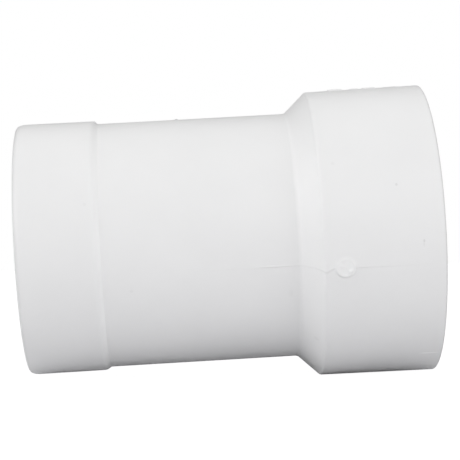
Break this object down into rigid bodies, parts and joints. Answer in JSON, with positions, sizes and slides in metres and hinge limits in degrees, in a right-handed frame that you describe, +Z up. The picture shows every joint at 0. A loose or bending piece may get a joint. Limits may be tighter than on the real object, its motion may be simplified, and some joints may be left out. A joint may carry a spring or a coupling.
{
  "type": "reducing coupling",
  "caption": "White moulded PVC pipe coupling: a large solvent-weld socket, a short 45 degree cone, a plain barrel and a thin-walled smaller socket, open right through.",
  "frame": {"origin": "on the fitting's axis, halfway between its two end faces", "axes": "+X along the axis towards the large hub's mouth; the gate nub is on the -Y side, just below the middle; +Z up as the fitting lies on its side"},
  "size_m": [0.1794, 0.128, 0.1282],
  "materials": {
    "white_pvc": "smooth white injection-moulded PVC with a soft satin gloss"
  },
  "bodies": {
    "root": {"large_hub": "white_pvc", "reducing_cone": "white_pvc", "barrel": "white_pvc", "small_collar": "white_pvc"}
  },
  "joints": []
}
